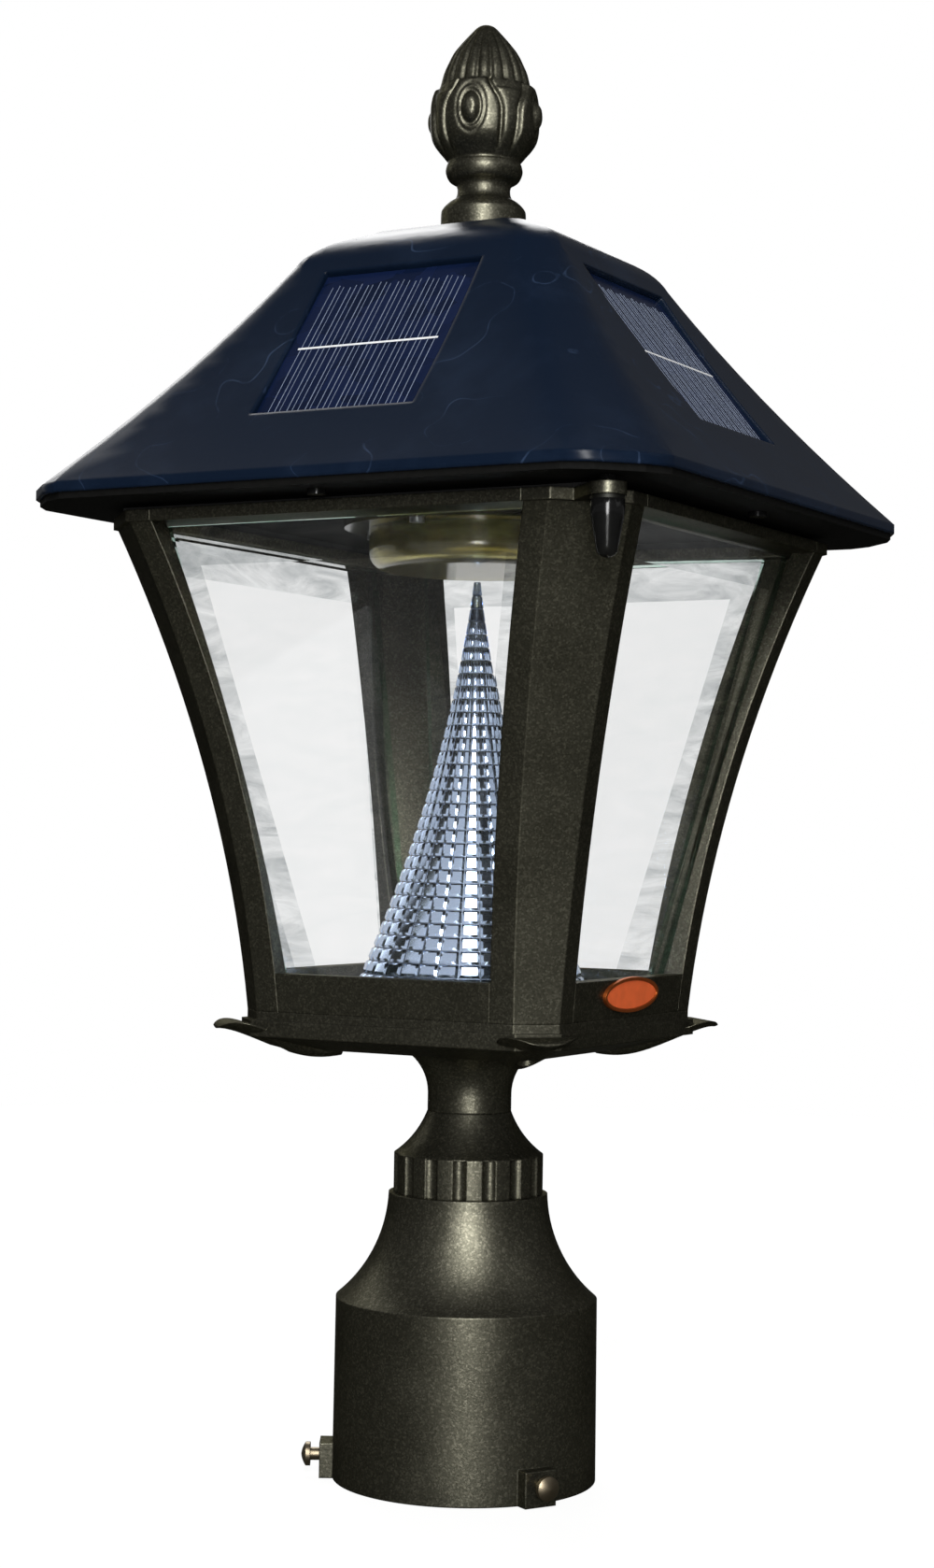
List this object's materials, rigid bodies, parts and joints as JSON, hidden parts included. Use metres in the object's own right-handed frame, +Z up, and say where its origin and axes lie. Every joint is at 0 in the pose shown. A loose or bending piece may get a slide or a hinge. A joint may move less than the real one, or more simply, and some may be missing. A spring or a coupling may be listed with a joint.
{
  "type": "solar post lantern",
  "caption": "Post-top solar lantern: hipped roof with solar panels, bevelled glass cage, mirror cone, finial, and a fitter cup that slips over a round post.",
  "frame": {"origin": "centre of the fitter cup's rim, on the plane that the lantern stands on", "axes": "+Z up along the post's axis, -Y out of the front pane, +X out of the right pane"},
  "size_m": [0.218, 0.218, 0.466],
  "materials": {
    "black_powder_coat": "fine black powder coat on a casting",
    "roof_paint": "semi-gloss blue-black paint, lightly scuffed",
    "clear_glass": "clear, with ground bevels",
    "metallised_plastic": "mirror coat on small facets",
    "solar_cell": "dark cell with silver fingers, glossy",
    "zinc_steel": "zinc plated",
    "brass": "dull",
    "foam_rubber": "matt",
    "clear_plastic": "clear, slightly yellowed",
    "board_laminate": "green board",
    "led_resin": "clear domes",
    "black_plastic": "moulded",
    "cell_wrap": "shrink wrapped"
  },
  "bodies": {
    "lantern": {"fitter_cup": "black_powder_coat", "fluted_collar": "black_powder_coat", "base_pan": "black_powder_coat", "corner_post_front_right": "black_powder_coat", "corner_post_back_right": "black_powder_coat", "corner_post_back_left": "black_powder_coat", "corner_post_front_left": "black_powder_coat", "lower_rail_front": "black_powder_coat", "lower_rail_right": "black_powder_coat", "lower_rail_back": "black_powder_coat", "lower_rail_left": "black_powder_coat", "upper_rail_front": "black_powder_coat", "upper_rail_right": "black_powder_coat", "upper_rail_back": "black_powder_coat", "upper_rail_left": "black_powder_coat", "glass_pane_front": "clear_glass", "glass_pane_right": "clear_glass", "glass_pane_back": "clear_glass", "glass_pane_left": "clear_glass", "mirror_cone": "metallised_plastic", "threaded_nipple": "zinc_steel", "nipple_washers": "zinc_steel", "nipple_nuts": "zinc_steel", "base_screws": "zinc_steel", "floor_plate": "zinc_steel", "cone_screws": "zinc_steel", "gasket_strips": "foam_rubber"},
    "roof": {"roof_shell": "roof_paint", "roof_underplate": "roof_paint", "underplate_screws": "zinc_steel", "solar_panel_front": "solar_cell", "solar_panel_right": "solar_cell", "solar_panel_back": "solar_cell", "solar_panel_left": "solar_cell", "finial": "black_powder_coat", "finial_stud": "zinc_steel", "finial_washer": "zinc_steel", "finial_nut": "zinc_steel", "led_lens": "clear_plastic", "lens_screws": "zinc_steel", "led_board": "board_laminate", "leds": "led_resin", "circuit_board": "board_laminate", "board_screws": "zinc_steel", "battery_holder": "black_plastic", "battery_cells": "cell_wrap", "switch_housing": "black_plastic"},
    "switch": {"switch_slider": "black_plastic"},
    "thumb_washer_1": {"thumb_washer_1": "zinc_steel"},
    "thumb_screw_1": {"thumb_screw_1": "black_powder_coat"},
    "thumb_washer_2": {"thumb_washer_2": "zinc_steel"},
    "thumb_screw_2": {"thumb_screw_2": "black_powder_coat"},
    "set_screw_1": {"set_screw_1": "brass"},
    "set_screw_2": {"set_screw_2": "brass"},
    "set_screw_3": {"set_screw_3": "brass"}
  },
  "joints": [
    {"name": "roof_lift", "type": "slide", "parent": "lantern", "child": "roof", "axis": [0, 0, 1], "range_m": [0, 0.06]},
    {"name": "switch_slide", "type": "slide", "parent": "roof", "child": "switch", "axis": [1, 0, 0], "range_m": [0, 0.004]},
    {"name": "thumb_drop_1", "type": "slide", "parent": "lantern", "child": "thumb_washer_1", "axis": [0, 0, -1], "range_m": [0, 0.0073]},
    {"name": "thumb_turn_1", "type": "hinge", "parent": "thumb_washer_1", "child": "thumb_screw_1", "pos_m": [0.0915, -0.0915, 0.2984], "axis": [0, 0, -1], "range_deg": [0, 3240]},
    {"name": "thumb_drop_2", "type": "slide", "parent": "lantern", "child": "thumb_washer_2", "axis": [0, 0, -1], "range_m": [0, 0.0073]},
    {"name": "thumb_turn_2", "type": "hinge", "parent": "thumb_washer_2", "child": "thumb_screw_2", "pos_m": [-0.0915, 0.0915, 0.2984], "axis": [0, 0, -1], "range_deg": [0, 3240]},
    {"name": "set_screw_1_drive", "type": "slide", "parent": "lantern", "child": "set_screw_1", "axis": [0, -1, 0], "range_m": [-0.004, 0.0029]},
    {"name": "set_screw_2_drive", "type": "slide", "parent": "lantern", "child": "set_screw_2", "axis": [0.866, 0.5, 0], "range_m": [-0.004, 0.0029]},
    {"name": "set_screw_3_drive", "type": "slide", "parent": "lantern", "child": "set_screw_3", "axis": [-0.866, 0.5, 0], "range_m": [-0.004, 0.0029]}
  ],
  "couplings": [
    {"joint": "thumb_drop_1", "follows": "thumb_turn_1", "m_per_rad": 0.00012732},
    {"joint": "thumb_drop_2", "follows": "thumb_turn_2", "m_per_rad": 0.00012732}
  ]
}
